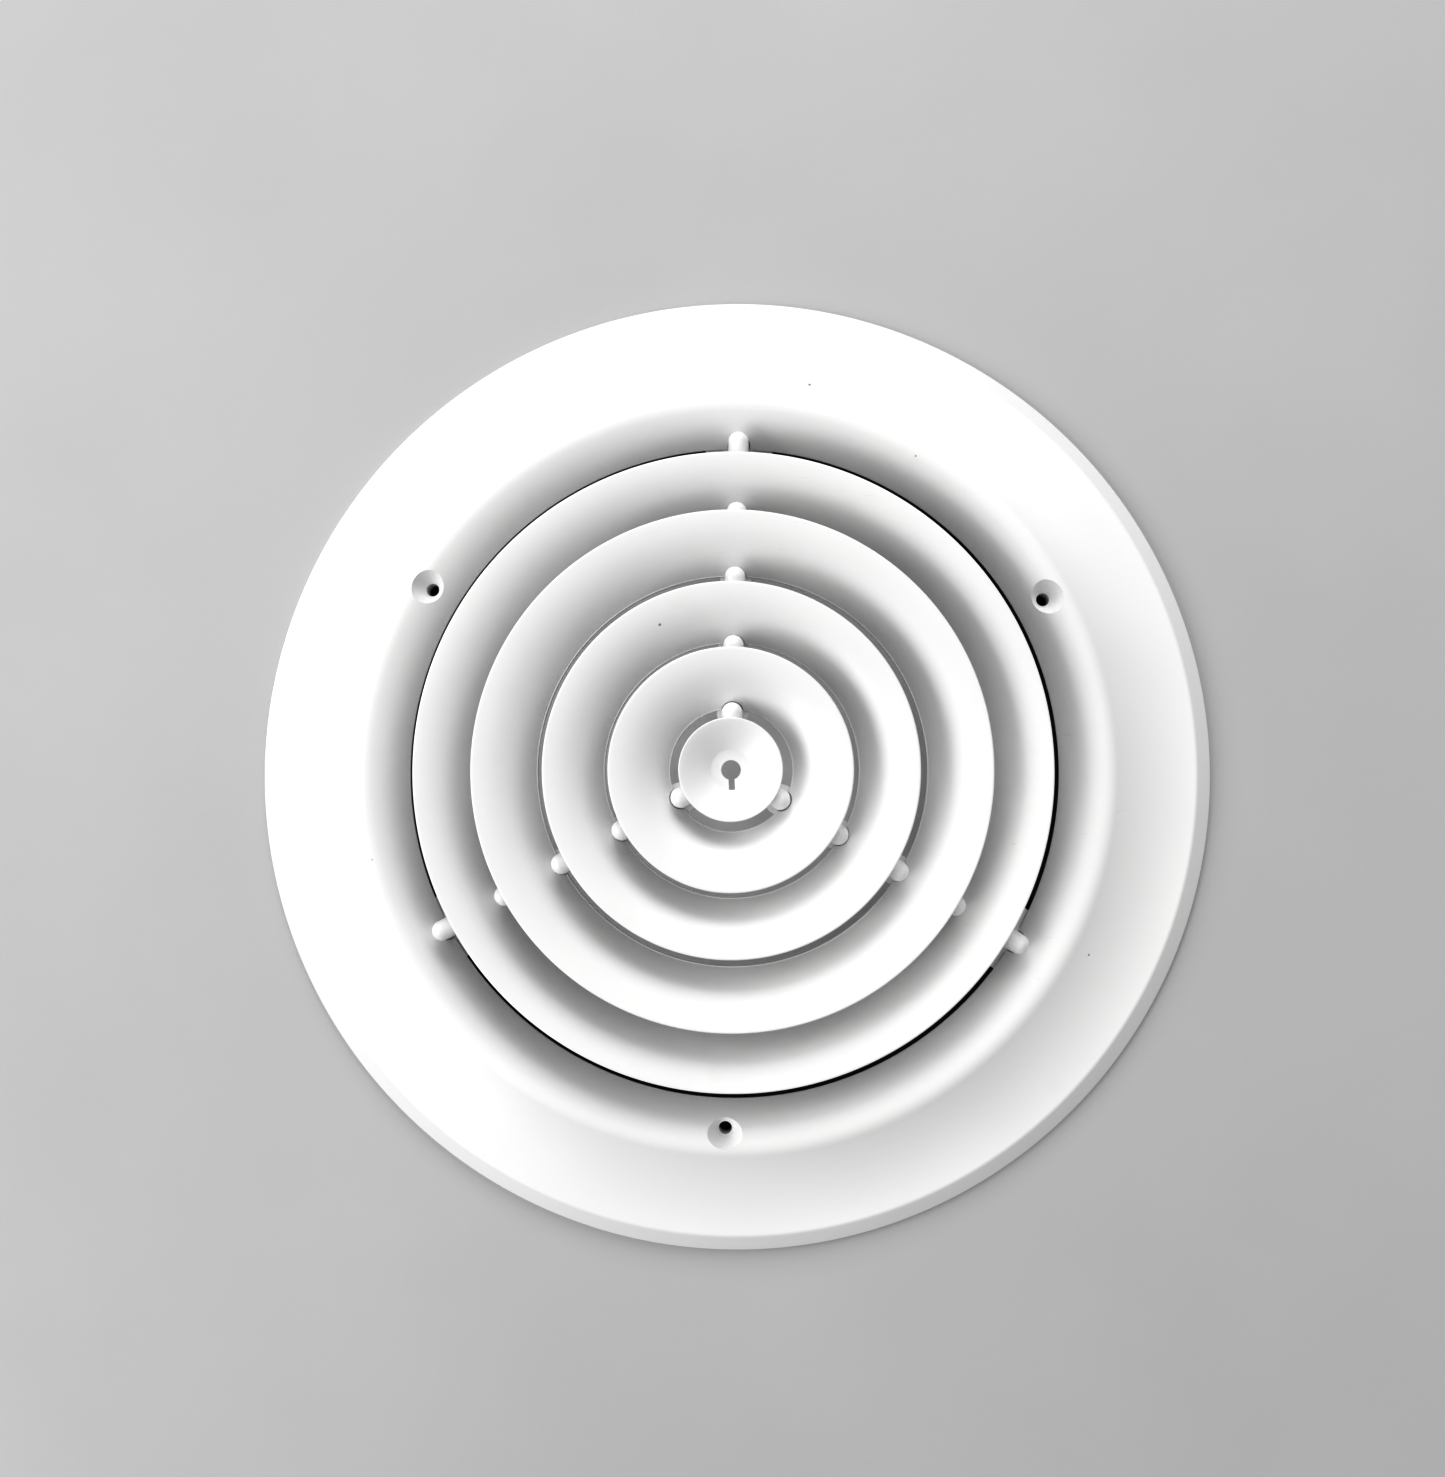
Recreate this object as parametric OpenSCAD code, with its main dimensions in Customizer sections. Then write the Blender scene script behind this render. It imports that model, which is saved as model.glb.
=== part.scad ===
// Round step-down ceiling air diffuser.
// A flanged frame carries four trumpet-shaped cones and a centre disk. Each of them stands on
// three round legs with pins that push into sockets at the neck of the piece around it.
// Origin: centre of the plane that meets the ceiling. +Z points out of the ceiling, into the room.

/* [Frame] */
// Outside diameter of the frame
frame_d = 283.6; // [276:0.2:292]
// Height of the thin outer edge above the ceiling
edge_h = 1.2; // [0.8:0.1:1.6]
// Width of the bevel inside the outer edge
bevel_w = 4.9; // [3:0.1:6]
// Rise of the bevel
bevel_rise = 3.9; // [3.2:0.1:4.4]
// Diameter of the crest, the highest circle of the frame
crest_d = 220; // [218:0.2:224]
// Height of the crest above the ceiling
crest_h = 12.4; // [12:0.1:13]
// Diameter of the air opening inside the crest
throat_d = 192.8; // [192:0.2:193.4]
// Drop from the crest to the edge of the air opening
throat_drop = 7.2; // [6.4:0.1:7.4]
// Slope of the throat where it leaves the crest
throat_slope = 0.2; // [0.1:0.01:0.26]
// Thickness of the frame at the edge of the air opening
throat_edge_t = 0.7; // [0.5:0.1:1]
// Wall thickness of the frame
frame_wall = 2; // [1.6:0.1:2.4]

/* [Screw holes] */
// Diameter of the circle through the three screw holes
screw_circle_d = 209; // [207:0.2:210]
// Diameter of each screw hole
screw_hole_d = 3.8; // [3.2:0.1:4.5]
// Diameter of the countersink where it meets the face
countersink_d = 9.8; // [8:0.1:11]
// Diameter of the boss behind each screw hole
screw_boss_d = 11.3; // [11.2:0.1:11.8]

/* [Gasket] */
// Outside diameter of the foam ring
gasket_d = 226; // [224:0.5:230]
// Diameter of the hole in the foam ring
gasket_hole_d = 187; // [186:0.5:189]
// Thickness of the foam ring
gasket_t = 2; // [1.5:0.1:2.2]

/* [Cones] */
// Lip diameter of the outer cone
outer_lip_d = 185.6; // [184.8:0.2:186.4]
// Lip diameter of the second cone
second_lip_d = 149.8; // [148.6:0.2:150.4]
// Lip diameter of the third cone
third_lip_d = 107.6; // [106.6:0.2:108.2]
// Lip diameter of the inner cone
inner_lip_d = 69.6; // [68.6:0.2:70.2]
// Diameter of the centre disk
disk_d = 29.6; // [28.8:0.2:30]
// Lip height of the outer cone above the ceiling
outer_lip_h = 19; // [18.5:0.1:20]
// Lip height of the second cone
second_lip_h = 24; // [23.5:0.1:24.5]
// Lip height of the third cone
third_lip_h = 27.5; // [27:0.1:28]
// Lip height of the inner cone
inner_lip_h = 30; // [29.5:0.1:30.5]
// Lip height of the centre disk
disk_lip_h = 29.5; // [29:0.1:30]
// Neck diameter of the outer cone
outer_neck_d = 152; // [151:0.2:153]
// Neck diameter of the second cone
second_neck_d = 113.4; // [112.6:0.2:114]
// Neck diameter of the third cone
third_neck_d = 73.4; // [73:0.2:74.4]
// Neck diameter of the inner cone
inner_neck_d = 35.2; // [34.6:0.2:36]
// Depth of each cone from its lip to its neck
cone_depth = 9; // [8.4:0.1:9.4]
// Slope of each face at its lip
lip_slope = 0.13; // [0.08:0.01:0.18]
// Width of the level land round each neck
neck_land = 0.3; // [0.2:0.1:0.5]
// Length of the straight collar behind each neck
collar_h = 2.5; // [2:0.1:3]
// Wall thickness of the cones and the disk
cone_wall = 1.8; // [1.6:0.1:2]

/* [Legs] */
// Diameter of each leg
leg_d = 6; // [5:0.1:6.4]
// Diameter of the pin below each leg
pin_d = 4.4; // [3.6:0.1:4.6]
// Clearance all round a pin in its socket
pin_clearance = 0.05; // [0.03:0.01:0.1]
// Outside diameter of each socket
socket_d = 9; // [8.6:0.1:9.6]
// Push-in depth of a pin in a cone
pin_depth = 5; // [4:0.1:6]
// Leg circle of the outer cone, in the frame
outer_legs_d = 193.8; // [193:0.2:194.6]
// Leg circle of the second cone, in the outer cone
second_legs_d = 150.2; // [149.6:0.2:150.6]
// Leg circle of the third cone, in the second cone
third_legs_d = 111.4; // [110.8:0.2:112]
// Leg circle of the inner cone, in the third cone
inner_legs_d = 71.2; // [70.8:0.2:72]
// Leg circle of the centre disk, in the inner cone
disk_legs_d = 32.6; // [32:0.2:33.4]
// Width of the frame's seat tab under each leg of the outer cone
seat_tab_w = 20; // [14:0.5:24]

/* [Keyhole] */
// Diameter of the round part
keyhole_d = 5.6; // [5:0.1:6]
// Width of the slot
keyhole_slot_w = 1.7; // [1.4:0.1:2.2]
// Distance from the centre to the end of the slot
keyhole_reach = 5.7; // [5:0.1:6]
// Direction of the slot
keyhole_angle = 274; // [266:1:278]
// Diameter of the flat pad round the keyhole
pad_d = 11.2; // [11:0.1:12]
// Width of the pad over its two points
pad_points_w = 12.2; // [12:0.1:12.8]
// Depth of the dish in the disk
dish_depth = 5.6; // [5:0.1:5.8]

/* [Hidden] */
$fn = 120;
WHITE = "white";
FOAM = "dimgray";
STEPS = 12;
CUT = 1;
ARMS = [90, 210, 330];
SCREWS = [30, 150, 270];
RIBS = [for (a = [15:30:345]) a];
leg_r = leg_d / 2;
rim_r = frame_d / 2;
rim_land = 3;
bevel_r = rim_r - bevel_w;
bevel_h = edge_h + bevel_rise;
crest_r = crest_d / 2;
throat_r = throat_d / 2;
throat_h = crest_h - throat_drop;
// The inner ring behind the frame stands this far outside the air opening
inner_ring_gap = 1.9;
inner_ring_r = throat_r + inner_ring_gap;
ring_rib = 1.8;
frame_seat_h = throat_h - 0.5;
leg_end_gap = 0.3;
frame_pin_depth = frame_seat_h - gasket_t - leg_end_gap;
// The seat tab starts this far inside a socket's inner side, and this far above the foam ring
tab_inset = 0.5;
tab_lift = 0.5;
seat_tab_t = 1.6;
// Thickness of the thin ribs that run out behind the frame's face
radial_rib = 1.6;
// They begin this far outside the foam ring
rib_foam_gap = 0.5;
// The piece around a leg is cut this much wider than the leg, above its seat
notch_gap = 0.4;
// A cone's socket stops this far below the neck's edge
seat_drop = 0.7;
// A leg's round top lies this far below the lip it carries
leg_top_drop = 3.2;
disk_leg_top_drop = 1.8;
// The rib behind a leg begins this far across the cone, from neck to lip
rib_start = 0.5;
// How fast a dished face steepens towards its neck, and the disk's towards its pad
steepening = 2.3;
disk_steepening = 1.3;
rib_inset = 0.6;
lip_bevel = 0.4;
lead_in = 0.5;
// The keyhole's pad: half height of its pointed part against its diameter, and its rise
pad_point_part = 0.4;
pad_rise = 0.1;
// The ribs under the disk begin this far inside its lip
disk_rib_l = 2.8;

// Height of the frame's face at radius r
function frame_face(r) =
    r > bevel_r ? edge_h + bevel_rise * (rim_r - r) / bevel_w :
    r > crest_r ? bevel_h + (crest_h - bevel_h) * pow((bevel_r - r) / (bevel_r - crest_r), 2) :
    trumpet(r, throat_r, crest_r, crest_h, throat_drop, throat_slope, steepening);

// Height of the frame's back at radius r, where the wall thins towards the air opening
function frame_back(r) =
    frame_face(r) - min(frame_wall, throat_edge_t + (r - throat_r) * frame_wall / inner_ring_gap);

// Height of a trumpet-shaped face at radius r, steepest at the neck
function trumpet(r, neck_r, lip_r, lip_h, depth, slope, power) =
    let (u = (lip_r - r) / (lip_r - neck_r), lean = slope * (lip_r - neck_r))
    lip_h - lean * u - (depth - lean) * pow(u, power);

// Height of a cone's face at radius r: level round the neck, then a trumpet
function cone_face(r, neck_r, lip_r, lip_h) =
    let (land_r = neck_r + neck_land)
    trumpet(max(r, land_r), land_r, lip_r, lip_h, cone_depth, lip_slope, steepening);

// Height of the disk's dished face at radius r
function disk_face(r) =
    trumpet(r, pad_d / 2, disk_d / 2, disk_lip_h, dish_depth, lip_slope, disk_steepening);

// Seat height that a cone with this lip height gives to the piece inside it
function seat_of(lip_h) = lip_h - cone_depth - seat_drop;

// Evenly spaced radii from a to b, both ends included
function radii(a, b) = [for (i = [0:STEPS]) a + (b - a) * i / STEPS];

module at_each(angles) {
    for (a = angles) rotate([0, 0, a]) children();
}

// One leg on the +X side: a round arm that turns down into a post, with a thinner pin below it
module leg(from_r, at_r, top_h, seat_h, depth) {
    axis_h = top_h - leg_r;
    translate([from_r, 0, axis_h]) rotate([0, 90, 0]) cylinder(d = leg_d, h = at_r - from_r);
    translate([at_r, 0, axis_h]) sphere(d = leg_d);
    translate([at_r, 0, seat_h]) cylinder(d = leg_d, h = axis_h - seat_h);
    translate([at_r, 0, seat_h - depth + lead_in]) cylinder(d = pin_d, h = depth);
    translate([at_r, 0, seat_h - depth]) cylinder(d1 = pin_d - 2 * lead_in, d2 = pin_d, h = lead_in);
}

// The solid of one socket, before its bore is cut
module socket(at_r, seat_h, depth) {
    translate([at_r, 0, seat_h - depth]) cylinder(d = socket_d, h = depth);
}

// What a leg needs cut away: the bore below its seat and a wider notch above it
module socket_cut(at_r, seat_h, depth) {
    bore_r = pin_d / 2 + pin_clearance;
    notch_r = leg_r + notch_gap;
    translate([at_r, 0, seat_h - depth - CUT]) cylinder(r = bore_r, h = depth + 2 * CUT);
    translate([at_r, 0, seat_h]) cylinder(r = notch_r, h = leg_d);
    translate([at_r - socket_d, -notch_r, seat_h]) cube([socket_d, 2 * notch_r, leg_d]);
}

// The shell of a cone: dished face, bevelled lip and straight collar behind the neck
module cone_shell(neck_r, lip_r, lip_h) {
    neck_h = lip_h - cone_depth;
    land = [[neck_r, neck_h]];
    face = [for (r = radii(neck_r + neck_land, lip_r - lip_bevel)) [r, cone_face(r, neck_r, lip_r, lip_h)]];
    back = [
        for (r = radii(lip_r - lip_bevel, neck_r + cone_wall))
            [r, cone_face(r, neck_r, lip_r, lip_h) - cone_wall]
    ];
    lip = [[lip_r, lip_h - lip_bevel], [lip_r, lip_h - cone_wall + lip_bevel]];
    collar = [[neck_r + cone_wall, neck_h - collar_h], [neck_r, neck_h - collar_h]];
    rotate_extrude() polygon(concat(land, face, lip, back, collar));
}

// What joins a leg to the shell above it: a wall as wide as the leg, clipped under the face
module leg_rib(under, low_h) {
    from_r = under[0][0];
    to_r = under[len(under) - 1][0];
    intersection() {
        rotate_extrude() polygon(concat([[from_r, low_h]], under, [[to_r, low_h]]));
        translate([0, -leg_r, 0]) cube([to_r + CUT, leg_d, outer_lip_h + disk_lip_h]);
    }
}

// A cone with its three legs, and three sockets for the piece inside it
module cone(neck_d, lip_d, lip_h, legs_d, seat_h, depth, inner_legs) {
    neck_r = neck_d / 2;
    lip_r = lip_d / 2;
    from_r = neck_r + rib_start * (lip_r - neck_r);
    top_h = lip_h - leg_top_drop;
    inner_seat = seat_of(lip_h);
    under = [
        for (r = radii(from_r, lip_r - 2 * lip_bevel))
            [r, cone_face(r, neck_r, lip_r, lip_h) - rib_inset]
    ];
    difference() {
        union() {
            cone_shell(neck_r, lip_r, lip_h);
            at_each(ARMS) leg_rib(under, top_h - leg_r);
            at_each(ARMS) leg(from_r, legs_d / 2, top_h, seat_h, depth);
            at_each(ARMS) socket(inner_legs / 2, inner_seat, pin_depth);
        }
        at_each(ARMS) socket_cut(inner_legs / 2, inner_seat, pin_depth);
    }
}

module frame_shell() {
    face = concat(
        [for (r = radii(throat_r, crest_r)) [r, frame_face(r)]],
        [for (i = [1:STEPS]) let (r = crest_r + (bevel_r - crest_r) * i / STEPS) [r, frame_face(r)]]
    );
    edge = [[rim_r, edge_h], [rim_r, 0], [rim_r - rim_land, 0]];
    back_out = [for (r = radii(rim_r - rim_land, crest_r + ring_rib)) [r, frame_back(r)]];
    outer_ring = [[crest_r + ring_rib, gasket_t], [crest_r, gasket_t]];
    back_in = [for (r = radii(crest_r, inner_ring_r + ring_rib)) [r, frame_back(r)]];
    inner_ring = [[inner_ring_r + ring_rib, gasket_t], [inner_ring_r, gasket_t]];
    back_edge = [for (r = [inner_ring_r, throat_r]) [r, frame_back(r)]];
    rotate_extrude() polygon(concat(face, edge, back_out, outer_ring, back_in, inner_ring, back_edge));
}

// The space behind the frame's face between two radii, down to a given height
module behind_face(in_r, out_r, low_h) {
    top = [for (r = radii(in_r, out_r)) [r, frame_face(r) - frame_wall / 2]];
    rotate_extrude() polygon(concat([[in_r, low_h]], top, [[out_r, low_h]]));
}

module frame() {
    screw_r = screw_circle_d / 2;
    sink_top = frame_face(screw_r);
    sink_depth = (countersink_d - screw_hole_d) / 2;
    tab_in = (outer_legs_d - socket_d) / 2 + tab_inset;
    rib_in_r = gasket_d / 2 + rib_foam_gap;
    color(WHITE) difference() {
        union() {
            frame_shell();
            at_each(ARMS) socket(outer_legs_d / 2, frame_seat_h, frame_seat_h - gasket_t);
            at_each(ARMS) translate([tab_in, -seat_tab_w / 2, gasket_t + tab_lift])
                cube([inner_ring_r + ring_rib / 2 - tab_in, seat_tab_w, seat_tab_t]);
            intersection() {
                behind_face(inner_ring_r, crest_r + ring_rib, gasket_t);
                at_each(SCREWS) translate([screw_r, 0, 0]) cylinder(d = screw_boss_d, h = crest_h);
            }
            intersection() {
                behind_face(rib_in_r, rim_r - rim_land / 2, edge_h / 2);
                at_each(RIBS) translate([crest_r, -radial_rib / 2, 0])
                    cube([rim_r - crest_r, radial_rib, crest_h]);
            }
        }
        at_each(ARMS) socket_cut(outer_legs_d / 2, frame_seat_h, frame_seat_h - gasket_t);
        at_each(SCREWS) translate([screw_r, 0, -CUT]) cylinder(d = screw_hole_d, h = crest_h + 2 * CUT);
        at_each(SCREWS) translate([screw_r, 0, sink_top - sink_depth])
            cylinder(d1 = screw_hole_d, d2 = countersink_d + 2 * CUT, h = sink_depth + CUT);
    }
}

module ceiling_gasket() {
    color(FOAM) rotate_extrude()
        translate([gasket_hole_d / 2, 0]) square([(gasket_d - gasket_hole_d) / 2, gasket_t]);
}

module outer_cone() {
    color(WHITE) cone(outer_neck_d, outer_lip_d, outer_lip_h, outer_legs_d, frame_seat_h,
        frame_pin_depth, second_legs_d);
}

module second_cone() {
    color(WHITE) cone(second_neck_d, second_lip_d, second_lip_h, second_legs_d, seat_of(outer_lip_h),
        pin_depth, third_legs_d);
}

module third_cone() {
    color(WHITE) cone(third_neck_d, third_lip_d, third_lip_h, third_legs_d, seat_of(second_lip_h),
        pin_depth, inner_legs_d);
}

module inner_cone() {
    color(WHITE) cone(inner_neck_d, inner_lip_d, inner_lip_h, inner_legs_d, seat_of(third_lip_h),
        pin_depth, disk_legs_d);
}

// The outline of the pad: a circle with two small points
module pad_outline() {
    half_w = pad_points_w / 2;
    half_h = pad_d * pad_point_part;
    circle(d = pad_d);
    polygon([[half_w, 0], [0, half_h], [-half_w, 0], [0, -half_h]]);
}

module keyhole() {
    cylinder(d = keyhole_d, h = disk_lip_h);
    rotate([0, 0, keyhole_angle]) translate([0, -keyhole_slot_w / 2, 0])
        cube([keyhole_reach, keyhole_slot_w, disk_lip_h]);
}

module center_disk() {
    disk_r = disk_d / 2;
    pad_r = pad_d / 2;
    pad_h = disk_lip_h - dish_depth;
    from_r = disk_r - disk_rib_l;
    top_h = disk_lip_h - disk_leg_top_drop;
    face = [for (r = radii(pad_r, disk_r - lip_bevel)) [r, disk_face(r)]];
    back = [for (r = radii(disk_r - lip_bevel, pad_r)) [r, disk_face(r) - cone_wall]];
    lip = [[disk_r, disk_lip_h - lip_bevel], [disk_r, disk_lip_h - cone_wall + lip_bevel]];
    under = [for (r = radii(from_r, disk_r - 2 * lip_bevel)) [r, disk_face(r) - rib_inset]];
    color(WHITE) difference() {
        union() {
            rotate_extrude() polygon(concat([[0, pad_h]], face, lip, back, [[0, pad_h - cone_wall]]));
            translate([0, 0, pad_h - cone_wall / 2])
                linear_extrude(cone_wall / 2 + pad_rise) pad_outline();
            at_each(ARMS) leg_rib(under, top_h - leg_r);
            at_each(ARMS) leg(from_r, disk_legs_d / 2, top_h, seat_of(inner_lip_h), pin_depth);
        }
        keyhole();
    }
}

frame();
ceiling_gasket();
outer_cone();
second_cone();
third_cone();
inner_cone();
center_disk();
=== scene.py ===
"""Looks for a round step-down ceiling air diffuser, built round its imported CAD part."""

import math

import bmesh
import bpy
import numpy as np
from mathutils import Matrix, Vector


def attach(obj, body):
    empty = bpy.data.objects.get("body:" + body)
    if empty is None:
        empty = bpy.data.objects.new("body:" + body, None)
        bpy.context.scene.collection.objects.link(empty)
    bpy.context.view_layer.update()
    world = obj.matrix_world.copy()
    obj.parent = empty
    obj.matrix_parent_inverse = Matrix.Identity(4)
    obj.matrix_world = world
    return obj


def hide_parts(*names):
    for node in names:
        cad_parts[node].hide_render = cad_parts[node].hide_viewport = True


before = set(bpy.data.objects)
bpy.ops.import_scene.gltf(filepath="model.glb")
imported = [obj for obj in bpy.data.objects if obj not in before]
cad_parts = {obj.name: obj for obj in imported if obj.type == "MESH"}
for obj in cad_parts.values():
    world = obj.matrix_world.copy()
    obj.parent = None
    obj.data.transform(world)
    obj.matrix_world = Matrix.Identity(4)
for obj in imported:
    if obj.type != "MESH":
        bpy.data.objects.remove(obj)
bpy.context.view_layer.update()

# All sizes of the pieces are in millimetres and follow the CAD part.
MM = 0.001
SEGMENTS = 360
ARMS = (90, 210, 330)
SCREWS = (30, 150, 270)
RIBS = tuple(range(15, 360, 30))

LEG_R = 3.0
PIN_R = 2.2
BORE_R = 2.26
NOTCH_R = 3.4
SOCKET_R = 4.5
PIN_DEPTH = 5.0
LEAD_IN = 0.5
LEG_TOP_DROP = 3.2
DISK_LEG_TOP_DROP = 1.8
CONE_DEPTH = 9.0
LIP_SLOPE = 0.13
STEEPENING = 2.3
NECK_LAND = 0.3
RIB_START = 0.5
COLLAR = 2.5
WALL = 1.8
SEAT_DROP = 0.7
RIB_INSET = 0.6
# Keeps two coplanar faces of a leg from meeting exactly.
HAIR = 0.02

# neck radius, lip radius, lip height, circle of its own legs, circle of the legs it holds
CONES = {
    "outer_cone": (76.0, 92.8, 19.0, 96.9, 75.1),
    "second_cone": (56.7, 74.9, 24.0, 75.1, 55.7),
    "third_cone": (36.7, 53.8, 27.5, 55.7, 35.6),
    "inner_cone": (17.6, 34.8, 30.0, 35.6, 16.3),
}
DISK_R = 14.8
DISK_LEGS_R = 16.3
DISK_H = 29.5
DISH = 5.6
DISK_STEEPENING = 1.3
DISK_RIB_L = 2.8
PAD_R = 5.6
PAD_HALF_W = 6.1
KEYHOLE_R = 2.8
SLOT_W = 1.7
SLOT_REACH = 5.7
SLOT_ANGLE = 274
PAD_RISE = 0.1

RIM_R = 141.8
RIM_H = 1.2
BEVEL_R = 136.9
BEVEL_H = 5.1
CREST_R = 110.0
CREST_H = 12.4
THROAT_R = 96.4
THROAT_H = 5.2
THROAT_SLOPE = 0.2
THROAT_EDGE_T = 0.7
INNER_RING_R = 98.3
FRAME_WALL = 2.0
RING_RIB = 1.8
FOAM_H = 2.0
FOAM_R = (93.5, 113.0)
FOAM_SPLIT_R = 100.0
FRAME_SEAT = 4.7
FRAME_LEGS_R = 96.9
FRAME_PIN_DEPTH = 2.4
SCREW_CIRCLE_R = 104.5
SCREW_R = 1.9
SINK_R = 4.9
SCREW_BOSS_R = 5.65
SCREW_RING = 0.5
TAB_IN = 92.9
TAB_HALF_W = 10.0
TAB_LOW = 2.5
TAB_T = 1.6
RADIAL_RIB = 1.6

# Which cone holds each cone. The frame holds the outer one.
HELD_BY = {"second_cone": "outer_cone", "third_cone": "second_cone", "inner_cone": "third_cone"}


# ---------------------------------------------------------------- mesh building

def new_piece(name, verts, faces):
    """A mesh object from vertices in millimetres."""
    mesh = bpy.data.meshes.new(name)
    mesh.from_pydata([tuple(c * MM for c in v) for v in verts], [], faces)
    mesh.update()
    piece = bpy.data.objects.new(name, mesh)
    bpy.context.scene.collection.objects.link(piece)
    return piece


def rounded(outline, steps=6):
    """Rounds the corners of an outline of (radius, height, corner reach) points."""
    count = len(outline)
    out = []
    for i, (r, z, reach) in enumerate(outline):
        here = Vector((r, z))
        if reach <= 0:
            out.append((r, z))
            continue
        before = Vector(outline[i - 1][:2]) - here
        after = Vector(outline[(i + 1) % count][:2]) - here
        start = here + before.normalized() * min(reach, before.length * 0.9)
        end = here + after.normalized() * min(reach, after.length * 0.9)
        for k in range(steps + 1):
            t = k / steps
            p = start * (1 - t) ** 2 + here * 2 * t * (1 - t) + end * t * t
            out.append((p.x, p.y))
    return out


def curve(height, start, end, steps):
    """Points along a height function between two radii, with no rounding."""
    radii = [start + (end - start) * i / steps for i in range(steps + 1)]
    return [(r, height(r), 0) for r in radii]


def lathe(name, outline, segments=SEGMENTS, on_axis=False):
    """Turns an outline round Z. An outline on the axis starts and ends at radius 0."""
    area = sum(
        a[0] * b[1] - b[0] * a[1]
        for a, b in zip(outline, outline[1:] + outline[:1])
    )
    if area < 0:
        outline = outline[::-1]
    count = len(outline)
    verts = []
    for s in range(segments):
        angle = 2 * math.pi * s / segments
        verts += [(r * math.cos(angle), r * math.sin(angle), z) for r, z in outline]
    edges = count - 1 if on_axis else count
    faces = []
    for s in range(segments):
        here = s * count
        there = (s + 1) % segments * count
        for i in range(edges):
            k = (i + 1) % count
            faces.append((here + i, there + i, there + k, here + k))
    piece = new_piece(name, verts, faces)
    if on_axis:
        bm = bmesh.new()
        bm.from_mesh(piece.data)
        bmesh.ops.remove_doubles(bm, verts=bm.verts, dist=1e-7)
        bm.to_mesh(piece.data)
        bm.free()
    return piece


def rod(start, end, r1, r2=None, segments=64):
    """A closed cylinder or cone between two points."""
    r2 = r1 if r2 is None else r2
    start = Vector(start)
    end = Vector(end)
    turn = (end - start).to_track_quat("Z", "Y").to_matrix()
    verts = []
    for centre, r in ((start, r1), (end, r2)):
        for s in range(segments):
            angle = 2 * math.pi * s / segments
            verts.append(centre + turn @ Vector((r * math.cos(angle), r * math.sin(angle), 0)))
    faces = [tuple(range(segments))[::-1], tuple(range(segments, 2 * segments))]
    for s in range(segments):
        k = (s + 1) % segments
        faces.append((s, k, segments + k, segments + s))
    return new_piece("tool", verts, faces)


def block(low, high):
    """A closed box between two corners."""
    verts = [(x, y, z) for x in (low[0], high[0]) for y in (low[1], high[1]) for z in (low[2], high[2])]
    faces = [(0, 1, 3, 2), (4, 6, 7, 5), (0, 4, 5, 1), (2, 3, 7, 6), (0, 2, 6, 4), (1, 5, 7, 3)]
    return new_piece("tool", verts, faces)


def ball(centre, r, rings=24, segments=48):
    """A closed sphere whose poles lie on X."""
    outline = [
        (max(0.0, r * math.sin(math.pi * i / rings)), r * math.cos(math.pi * i / rings))
        for i in range(rings + 1)
    ]
    piece = lathe("tool", outline, segments, on_axis=True)
    turn = Matrix.Rotation(math.pi / 2, 4, "Y")
    piece.data.transform(Matrix.Translation(Vector(centre) * MM) @ turn)
    return piece


def prism(outline, low, high):
    """A closed prism over a flat outline of (x, y) points."""
    count = len(outline)
    verts = [(x, y, low) for x, y in outline] + [(x, y, high) for x, y in outline]
    faces = [tuple(range(count))[::-1], tuple(range(count, 2 * count))]
    faces += [(i, (i + 1) % count, count + (i + 1) % count, count + i) for i in range(count)]
    return new_piece("tool", verts, faces)


def combine(piece, tool, operation):
    """Applies one boolean to a piece and drops the tool. The exact solver is the fallback."""
    step = piece.modifiers.new("boolean", "BOOLEAN")
    step.operation = operation
    step.object = tool
    for solver in ("MANIFOLD", "EXACT"):
        step.solver = solver
        bpy.context.view_layer.update()
        graph = bpy.context.evaluated_depsgraph_get()
        made = bpy.data.meshes.new_from_object(piece.evaluated_get(graph))
        if made.polygons:
            break
    piece.modifiers.clear()
    old = piece.data
    piece.data = made
    bpy.data.meshes.remove(old)
    bpy.data.meshes.remove(tool.data)
    return piece


def at_each(piece, tool, angles, operation):
    """Applies the same tool at several angles round Z."""
    for angle in angles:
        copy = bpy.data.objects.new("tool", tool.data.copy())
        bpy.context.scene.collection.objects.link(copy)
        copy.data.transform(Matrix.Rotation(math.radians(angle), 4, "Z"))
        combine(piece, copy, operation)
    bpy.data.meshes.remove(tool.data)


def shade(piece, sharp_angle=28):
    """Smooth shading with real edges kept sharp."""
    mesh = piece.data
    mesh.polygons.foreach_set("use_smooth", np.ones(len(mesh.polygons), bool))
    mesh.set_sharp_from_angle(angle=math.radians(sharp_angle))
    mesh.update()


# ---------------------------------------------------------------- shapes that pieces share

def trumpet(r, neck, lip, lip_h, depth, slope=LIP_SLOPE, power=STEEPENING):
    """Height of a face that steepens from its lip to its neck."""
    u = max(0.0, (lip - r) / (lip - neck))
    lean = slope * (lip - neck)
    return lip_h - lean * u - (depth - lean) * u ** power


def wall(outline, half_width):
    """A closed upright wall on the +X side from an outline of (radius, height) points."""
    count = len(outline)
    verts = [(r, -half_width, z) for r, z in outline] + [(r, half_width, z) for r, z in outline]
    faces = [tuple(range(count)), tuple(range(count, 2 * count))[::-1]]
    faces += [((i + 1) % count, i, count + i, count + (i + 1) % count) for i in range(count)]
    return new_piece("tool", verts, faces)


def rib_under(height, from_r, to_r, low):
    """What joins a leg to the shell above it, a little inside the shell's face."""
    side = [(r, z - RIB_INSET) for r, z, _ in curve(height, from_r, to_r, 16)]
    return wall(side + [(to_r, low), (from_r, low)], LEG_R)


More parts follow.
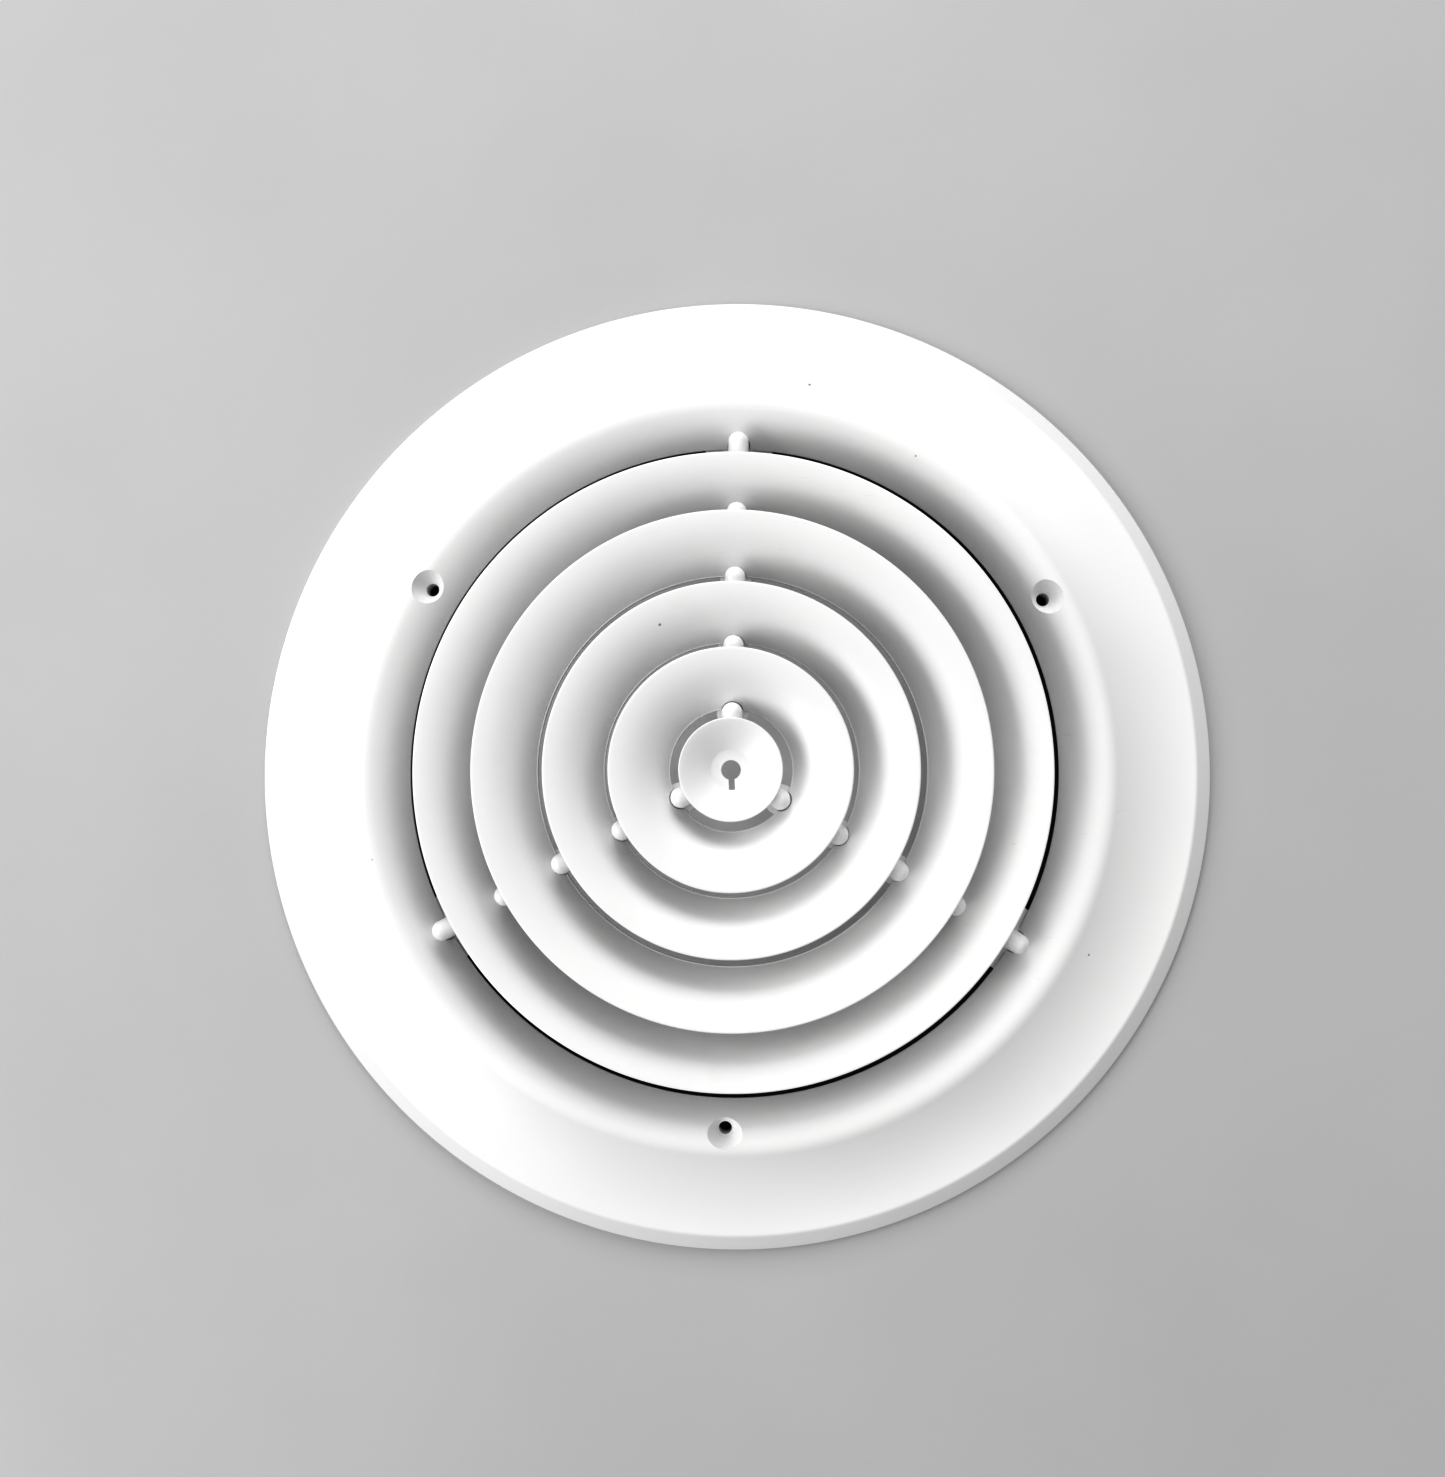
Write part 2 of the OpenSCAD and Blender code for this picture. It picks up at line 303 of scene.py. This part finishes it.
def leg(from_r, at_r, top, seat, depth):
    """One leg on the +X side: a round arm, a post with a rounded shoulder and a thinner pin."""
    axis = top - LEG_R
    made = rod((from_r, 0, axis), (at_r, 0, axis), LEG_R)
    combine(made, ball((at_r, 0, axis), LEG_R), "UNION")
    combine(made, rod((at_r, 0, seat + HAIR), (at_r, 0, axis), LEG_R), "UNION")
    combine(made, rod((at_r, 0, seat - depth + LEAD_IN), (at_r, 0, axis), PIN_R), "UNION")
    tip_top = seat - depth + LEAD_IN + HAIR
    combine(made, rod((at_r, 0, seat - depth), (at_r, 0, tip_top), PIN_R - LEAD_IN, PIN_R), "UNION")
    return made


def seat_of(cone):
    """Height of the seats that a cone gives to the piece inside it."""
    return CONES[cone][2] - CONE_DEPTH - SEAT_DROP


def cut_socket(piece, at_r, seat, depth):
    """The bore below a leg's seat and the wider notch above it."""
    bore = rod((at_r, 0, seat - depth - 1), (at_r, 0, seat + 1), BORE_R)
    at_each(piece, bore, ARMS, "DIFFERENCE")
    notch = rod((at_r, 0, seat), (at_r, 0, seat + 2 * LEG_R), NOTCH_R)
    inner = (at_r - 2 * SOCKET_R, -NOTCH_R, seat)
    combine(notch, block(inner, (at_r, NOTCH_R, seat + 2 * LEG_R)), "UNION")
    at_each(piece, notch, ARMS, "DIFFERENCE")


# ---------------------------------------------------------------- pieces

def make_cone(name):
    """One trumpet-shaped cone with its three legs and three sockets."""
    neck, lip, lip_h, legs_r, held_r = CONES[name]
    neck_h = lip_h - CONE_DEPTH
    seat = FRAME_SEAT
    depth = FRAME_PIN_DEPTH
    if name in HELD_BY:
        seat = seat_of(HELD_BY[name])
        depth = PIN_DEPTH

    def face(r):
        inner = neck + NECK_LAND
        return trumpet(max(r, inner), inner, lip, lip_h, CONE_DEPTH)

    def back(r):
        return face(r) - WALL

    outline = [(neck, neck_h, 0.12), (neck + NECK_LAND, neck_h, 0.1)]
    outline += curve(face, neck + NECK_LAND + 0.2, lip - 0.8, 48)
    outline += [(lip, lip_h - 0.05, 0.5), (lip, lip_h - WALL, 0.5)]
    outline += curve(back, lip - 0.8, neck + WALL + 0.5, 36)
    outline += [(neck + WALL, back(neck + WALL), 0.4)]
    outline += [(neck + WALL, neck_h - COLLAR, 0.3), (neck, neck_h - COLLAR, 0.3)]
    piece = lathe(name + "_shell", rounded(outline))
    from_r = neck + RIB_START * (lip - neck)
    top = lip_h - LEG_TOP_DROP
    arm = leg(from_r, legs_r, top, seat, depth)
    combine(arm, rib_under(face, from_r, lip - 0.8, top - LEG_R), "UNION")
    at_each(piece, arm, ARMS, "UNION")
    held_seat = seat_of(name)
    tube = rod((held_r, 0, held_seat - PIN_DEPTH), (held_r, 0, held_seat), SOCKET_R)
    at_each(piece, tube, ARMS, "UNION")
    cut_socket(piece, held_r, held_seat, PIN_DEPTH)
    shade(piece)
    return piece


def frame_face(r):
    """Height of the frame's face at a radius."""
    if r > BEVEL_R:
        return RIM_H + (BEVEL_H - RIM_H) * (RIM_R - r) / (RIM_R - BEVEL_R)
    if r > CREST_R:
        return BEVEL_H + (CREST_H - BEVEL_H) * ((BEVEL_R - r) / (BEVEL_R - CREST_R)) ** 2
    return trumpet(r, THROAT_R, CREST_R, CREST_H, CREST_H - THROAT_H, THROAT_SLOPE)


def frame_back(r):
    """Height of the frame's back at a radius, where the wall thins towards the throat."""
    taper = THROAT_EDGE_T + (r - THROAT_R) * FRAME_WALL / (INNER_RING_R - THROAT_R)
    return frame_face(r) - min(FRAME_WALL, taper)


def frame_outline():
    """The frame's section: face, bevel, rim, back, and the two rings behind it."""
    outline = [(THROAT_R, THROAT_H, 0.15)]
    outline += curve(frame_face, THROAT_R + 0.25, CREST_R - 3.0, 30)
    outline += [(CREST_R, CREST_H, 2.6)]
    outline += curve(frame_face, CREST_R + 3.0, BEVEL_R - 0.9, 40)
    outline += [(BEVEL_R, BEVEL_H, 0.7), (RIM_R, RIM_H, 0.35), (RIM_R, 0, 0.25), (RIM_R - 3, 0, 0.2)]
    outline += curve(frame_back, RIM_R - 3.4, CREST_R + RING_RIB + 0.4, 30)
    outline += [(CREST_R + RING_RIB, frame_back(CREST_R + RING_RIB), 0)]
    outline += [(CREST_R + RING_RIB, FOAM_H, 0.2), (CREST_R, FOAM_H, 0.2)]
    outline += curve(frame_back, CREST_R, INNER_RING_R + RING_RIB, 16)
    outline += [(INNER_RING_R + RING_RIB, FOAM_H, 0.2), (INNER_RING_R, FOAM_H, 0.2)]
    outline += [(INNER_RING_R, frame_back(INNER_RING_R), 0), (THROAT_R, frame_back(THROAT_R), 0.15)]
    return rounded(outline)


def add_sockets(piece):
    """Three sockets for the outer cone's legs, each with a tab that ties it to the inner ring."""
    tube = rod((FRAME_LEGS_R, 0, FOAM_H), (FRAME_LEGS_R, 0, FRAME_SEAT), SOCKET_R)
    at_each(piece, tube, ARMS, "UNION")
    tab = block((TAB_IN, -TAB_HALF_W, TAB_LOW), (INNER_RING_R + 0.9, TAB_HALF_W, TAB_LOW + TAB_T))
    at_each(piece, tab, ARMS, "UNION")


def add_bosses(piece):
    """A boss behind each screw hole, clipped under the face."""
    inner = INNER_RING_R + 0.1
    outer = CREST_R + RING_RIB - 0.1
    top = [(r, z - FRAME_WALL / 2) for r, z, _ in curve(frame_face, inner, outer, 20)]
    behind = lathe("tool", [(inner, FOAM_H)] + top + [(outer, FOAM_H)])
    boss = rod((SCREW_CIRCLE_R, 0, FOAM_H - 1), (SCREW_CIRCLE_R, 0, CREST_H), SCREW_BOSS_R)
    combine(boss, behind, "INTERSECT")
    at_each(piece, boss, SCREWS, "UNION")


def add_ribs(piece):
    """Thin ribs that run out from the foam ring to the rim behind the face."""
    inner = FOAM_R[1] + 0.5
    outer = RIM_R - 1.5
    side = [(r, z - FRAME_WALL / 2) for r, z, _ in curve(frame_face, inner, outer, 20)]
    side += [(outer, 0.6), (inner, 0.6)]
    at_each(piece, wall(side, RADIAL_RIB / 2), RIBS, "UNION")


def cut_screw_holes(piece):
    """Three countersunk holes."""
    hole = rod((SCREW_CIRCLE_R, 0, -1), (SCREW_CIRCLE_R, 0, CREST_H + 1), SCREW_R)
    at_each(piece, hole, SCREWS, "DIFFERENCE")
    top = frame_face(SCREW_CIRCLE_R)
    low = top - (SINK_R - SCREW_R) + SCREW_RING
    sides = [(0, low), (SCREW_R + SCREW_RING, low), (SINK_R, top), (SINK_R + 0.6, top + 0.9)]
    sides += [(SINK_R + 0.6, top + 4), (0, top + 4)]
    sink = lathe("tool", sides, 96, on_axis=True)
    sink.data.transform(Matrix.Translation(Vector((SCREW_CIRCLE_R, 0, 0)) * MM))
    at_each(piece, sink, SCREWS, "DIFFERENCE")


def make_frame():
    """The flanged frame: face, bevel, crest and throat, with ribs, bosses and sockets behind."""
    piece = lathe("frame_shell", frame_outline(), 480)
    add_sockets(piece)
    add_bosses(piece)
    add_ribs(piece)
    cut_socket(piece, FRAME_LEGS_R, FRAME_SEAT, FRAME_SEAT - FOAM_H)
    cut_screw_holes(piece)
    shade(piece)
    return piece


def make_foam():
    """The black foam ring behind the frame, with slightly uneven cut edges."""
    inner, outer = FOAM_R
    outline = [(inner, 0, 0.25), (outer, 0, 0.25)]
    outline += [(outer, 1.0, 0), (outer, FOAM_H, 0.3), ((inner + outer) / 2, FOAM_H, 0)]
    outline += [(inner, FOAM_H, 0.3), (inner, 1.0, 0)]
    piece = lathe("foam_ring", rounded(outline, 4), 720)
    mesh = piece.data
    co = np.zeros(len(mesh.vertices) * 3)
    mesh.vertices.foreach_get("co", co)
    co = co.reshape(-1, 3)
    rng = np.random.default_rng(7)
    angle = np.arctan2(co[:, 1], co[:, 0])
    wave = sum(
        np.sin(angle * k + rng.uniform(0, 6.3)) * 0.12 / (1 + k / 12)
        for k in (5, 9, 17, 31, 57, 90)
    )
    radius = np.hypot(co[:, 0], co[:, 1])
    trim = 0.5 * (wave.max() - wave) * MM
    scale = (radius + np.where(radius < FOAM_SPLIT_R * MM, trim, -trim)) / radius
    co[:, 0] *= scale
    co[:, 1] *= scale
    mesh.vertices.foreach_set("co", co.ravel())
    shade(piece, 40)
    return piece


def make_pad(pad_h):
    """The flat pad in the disk: a circle with two small points."""
    low = pad_h - WALL / 2
    high = pad_h + PAD_RISE
    half_h = 2 * PAD_R * 0.4
    pad = rod((0, 0, low), (0, 0, high), PAD_R, segments=96)
    points = [(PAD_HALF_W, 0), (0, half_h), (-PAD_HALF_W, 0), (0, -half_h)]
    combine(pad, prism(points, low, high), "UNION")
    return pad


def make_disk():
    """The centre disk: a dished button with a keyhole in a pointed pad, and three legs."""
    pad_h = DISK_H - DISH

    def face(r):
        return trumpet(r, PAD_R, DISK_R, DISK_H, DISH, LIP_SLOPE, DISK_STEEPENING)

    def back(r):
        return face(r) - WALL

    outline = [(0, pad_h, 0), (PAD_R - 0.5, pad_h, 0)]
    outline += curve(face, PAD_R + 0.3, DISK_R - 0.8, 28)
    outline += [(DISK_R, DISK_H, 0.5), (DISK_R, DISK_H - WALL, 0.5)]
    outline += curve(back, DISK_R - 0.8, PAD_R, 20)
    outline += [(0, pad_h - WALL, 0)]
    piece = lathe("disk_shell", rounded(outline), 240, on_axis=True)
    combine(piece, make_pad(pad_h), "UNION")
    from_r = DISK_R - DISK_RIB_L
    top = DISK_H - DISK_LEG_TOP_DROP
    arm = leg(from_r, DISK_LEGS_R, top, seat_of("inner_cone"), PIN_DEPTH)
    combine(arm, rib_under(face, from_r, DISK_R - 0.8, top - LEG_R), "UNION")
    at_each(piece, arm, ARMS, "UNION")
    above = DISK_H + 1
    combine(piece, rod((0, 0, 0), (0, 0, above), KEYHOLE_R, segments=96), "DIFFERENCE")
    slot = block((0, -SLOT_W / 2, 0), (SLOT_REACH, SLOT_W / 2, above))
    at_each(piece, slot, (SLOT_ANGLE,), "DIFFERENCE")
    shade(piece)
    return piece


# ---------------------------------------------------------------- materials

class Graph:
    """A short way to build a node tree."""

    def __init__(self, name):
        self.material = bpy.data.materials.new(name)
        self.material.use_nodes = True
        self.tree = self.material.node_tree
        self.shader = self.tree.nodes["Principled BSDF"]
        self.place = self.add("ShaderNodeTexCoord").outputs["Object"]

    def add(self, kind, **values):
        node = self.tree.nodes.new(kind)
        for key, value in values.items():
            setattr(node, key, value)
        return node

    def link(self, source, target):
        self.tree.links.new(source, target)

    def noise(self, scale, detail=4, roughness=0.5, place=None):
        node = self.add("ShaderNodeTexNoise")
        self.link(place or self.place, node.inputs["Vector"])
        node.inputs["Scale"].default_value = scale
        node.inputs["Detail"].default_value = detail
        node.inputs["Roughness"].default_value = roughness
        return node.outputs["Fac"]

    def remap(self, value, low, high, to_low, to_high):
        node = self.add("ShaderNodeMapRange", interpolation_type="SMOOTHSTEP")
        self.link(value, node.inputs["Value"])
        for key, number in (("From Min", low), ("From Max", high), ("To Min", to_low), ("To Max", to_high)):
            node.inputs[key].default_value = number
        return node.outputs["Result"]

    def math(self, operation, a, b):
        node = self.add("ShaderNodeMath", operation=operation)
        for socket, value in ((node.inputs[0], a), (node.inputs[1], b)):
            if isinstance(value, (int, float)):
                socket.default_value = value
            else:
                self.link(value, socket)
        return node.outputs[0]

    def mix(self, share, a, b):
        node = self.add("ShaderNodeMix", data_type="RGBA")
        self.link(share, node.inputs[0])
        for socket, value in ((node.inputs[6], a), (node.inputs[7], b)):
            if isinstance(value, tuple):
                socket.default_value = (*value, 1)
            else:
                self.link(value, socket)
        return node.outputs[2]

    def bump(self, height, distance, strength=1.0):
        node = self.add("ShaderNodeBump")
        self.link(height, node.inputs["Height"])
        node.inputs["Distance"].default_value = distance
        node.inputs["Strength"].default_value = strength
        self.link(node.outputs["Normal"], self.shader.inputs["Normal"])


def white_plastic():
    """Satin moulded plastic: faint mottling, fine grain, scuffs and a few dark specks."""
    g = Graph("white_plastic")
    s = g.shader.inputs
    mottle = g.noise(38, 5, 0.6)
    cloudy = g.noise(9, 3, 0.5)
    tone = g.mix(g.remap(cloudy, 0.3, 0.7, 0, 1), (0.83, 0.832, 0.83), (0.86, 0.86, 0.857))
    tone = g.mix(g.remap(mottle, 0.58, 0.8, 0, 0.35), tone, (0.78, 0.782, 0.775))
    stretch = g.add("ShaderNodeMapping")
    g.link(g.place, stretch.inputs["Vector"])
    stretch.inputs["Rotation"].default_value = (0, 0, 0.6)
    stretch.inputs["Scale"].default_value = (0.35, 3.0, 1.0)
    scuff_noise = g.noise(170, 3, 0.7, stretch.outputs["Vector"])
    patches = g.remap(g.noise(16, 2, 0.5), 0.56, 0.7, 0, 1)
    scuffs = g.math("MULTIPLY", g.remap(scuff_noise, 0.66, 0.74, 0, 1), patches)
    tone = g.mix(g.math("MULTIPLY", scuffs, 0.3), tone, (0.6, 0.6, 0.59))
    cells = g.add("ShaderNodeTexVoronoi", feature="F1")
    g.link(g.place, cells.inputs["Vector"])
    cells.inputs["Scale"].default_value = 95
    dot = g.remap(cells.outputs["Distance"], 0.035, 0.055, 1, 0)
    rare = g.add("ShaderNodeSeparateColor")
    g.link(cells.outputs["Color"], rare.inputs[0])
    chosen = g.math("GREATER_THAN", rare.outputs[0], 0.965)
    specks = g.math("MULTIPLY", dot, chosen)
    tone = g.mix(g.math("MULTIPLY", specks, 0.75), tone, (0.16, 0.15, 0.14))
    g.link(tone, s["Base Color"])
    rough = g.math("ADD", g.remap(mottle, 0.3, 0.7, 0.36, 0.46), g.math("MULTIPLY", scuffs, 0.14))
    g.link(rough, s["Roughness"])
    s["IOR"].default_value = 1.49
    s["Subsurface Weight"].default_value = 0.0
    grain = g.noise(1500, 2, 0.5)
    ripple = g.noise(120, 2, 0.5)
    height = g.math("ADD", g.math("MULTIPLY", grain, 0.35), g.math("MULTIPLY", ripple, 0.65))
    g.bump(g.math("SUBTRACT", height, g.math("MULTIPLY", scuffs, 0.2)), 0.00004, 0.35)
    return g.material


def black_foam():
    """Closed-cell foam: near black, rough, with small open cells at the cut faces."""
    g = Graph("foam")
    s = g.shader.inputs
    cells = g.add("ShaderNodeTexVoronoi", feature="F1")
    g.link(g.place, cells.inputs["Vector"])
    cells.inputs["Scale"].default_value = 900
    cloudy = g.noise(60, 4, 0.6)
    tone = g.mix(g.remap(cloudy, 0.3, 0.7, 0, 1), (0.03, 0.03, 0.032), (0.052, 0.052, 0.054))
    tone = g.mix(g.remap(cells.outputs["Distance"], 0.2, 0.7, 0, 0.5), tone, (0.07, 0.07, 0.072))
    g.link(tone, s["Base Color"])
    g.link(g.remap(cloudy, 0.3, 0.7, 0.85, 0.98), s["Roughness"])
    s["Specular IOR Level"].default_value = 0.25
    g.bump(cells.outputs["Distance"], 0.0003, 0.8)
    return g.material


def pale_floor():
    """A plain matt pale grey board with a very faint grain."""
    g = Graph("pale_floor")
    s = g.shader.inputs
    cloudy = g.noise(6, 4, 0.55)
    g.link(g.mix(g.remap(cloudy, 0.3, 0.7, 0, 1), (0.57, 0.57, 0.57), (0.59, 0.59, 0.59)), s["Base Color"])
    g.link(g.remap(g.noise(40, 3, 0.5), 0.3, 0.7, 0.6, 0.7), s["Roughness"])
    s["Specular IOR Level"].default_value = 0.3
    g.bump(g.noise(350, 5, 0.6), 0.0001, 0.35)
    return g.material


# ---------------------------------------------------------------- stage

def make_floor(material):
    """A flat floor in the plane that meets the ceiling."""
    size = 3000.0
    low = -0.05
    verts = [(-size, -size, low), (size, -size, low), (size, size, low), (-size, size, low)]
    floor = new_piece("floor", verts, [(0, 1, 2, 3)])
    floor.data.materials.append(material)


def make_light(name, azimuth, elevation, distance, width, height, power):
    """A wide soft light that looks at the centre of the diffuser."""
    data = bpy.data.lights.new(name, "AREA")
    data.shape = "RECTANGLE"
    data.size = width
    data.size_y = height
    data.energy = power
    light = bpy.data.objects.new(name, data)
    a = math.radians(azimuth)
    e = math.radians(elevation)
    away = Vector((math.cos(a) * math.cos(e), math.sin(a) * math.cos(e), math.sin(e)))
    light.location = away * distance
    light.rotation_mode = "QUATERNION"
    light.rotation_quaternion = away.to_track_quat("Z", "Y")
    bpy.context.scene.collection.objects.link(light)
    return light


def make_world(strength):
    """Even light from all round."""
    world = bpy.data.worlds.new("room")
    world.use_nodes = True
    world.node_tree.nodes["Background"].inputs["Color"].default_value = (1, 1, 1, 1)
    world.node_tree.nodes["Background"].inputs["Strength"].default_value = strength
    bpy.context.scene.world = world


def make_camera():
    """Almost straight above, two degrees off the axis."""
    data = bpy.data.cameras.new("camera")
    data.sensor_fit = "HORIZONTAL"
    data.sensor_width = 36
    data.lens = 38.99
    camera = bpy.data.objects.new("camera", data)
    camera.location = (0.0116, -0.0081, 0.4704)
    turn = Vector((math.radians(2.2), math.radians(1.8), math.radians(1.11)))
    camera.rotation_mode = "QUATERNION"
    camera.rotation_quaternion = Matrix.Rotation(turn.length, 3, turn).to_quaternion()
    bpy.context.scene.collection.objects.link(camera)
    bpy.context.scene.camera = camera


# ---------------------------------------------------------------- build

def place(piece, material, body, node, slot):
    """Gives a finished piece its material and body, and hides the CAD node that it replaces. The slot
    argument is not used.
    """
    piece.data.materials.clear()
    piece.data.materials.append(material)
    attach(piece, body)
    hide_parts(node)


plastic = white_plastic()
place(make_frame(), plastic, "frame", "frame", "white_plastic")
place(make_foam(), black_foam(), "frame", "ceiling_gasket", "foam")
for cone in CONES:
    place(make_cone(cone), plastic, cone, cone, "white_plastic")
place(make_disk(), plastic, "center_disk", "center_disk", "white_plastic")

make_floor(pale_floor())
make_light("left_back", 95, 30, 1.5, 0.8, 0.6, 8.7)
make_light("left", 175, 30, 1.5, 0.8, 0.6, 6.5)
make_light("back", 55, 35, 1.5, 0.8, 0.6, 4.2)
make_light("left_front", 215, 35, 1.5, 0.8, 0.6, 6.55)
make_world(0.608)
make_camera()
bpy.context.scene.view_settings.view_transform = "Standard"
bpy.context.scene.view_settings.gamma = 0.55
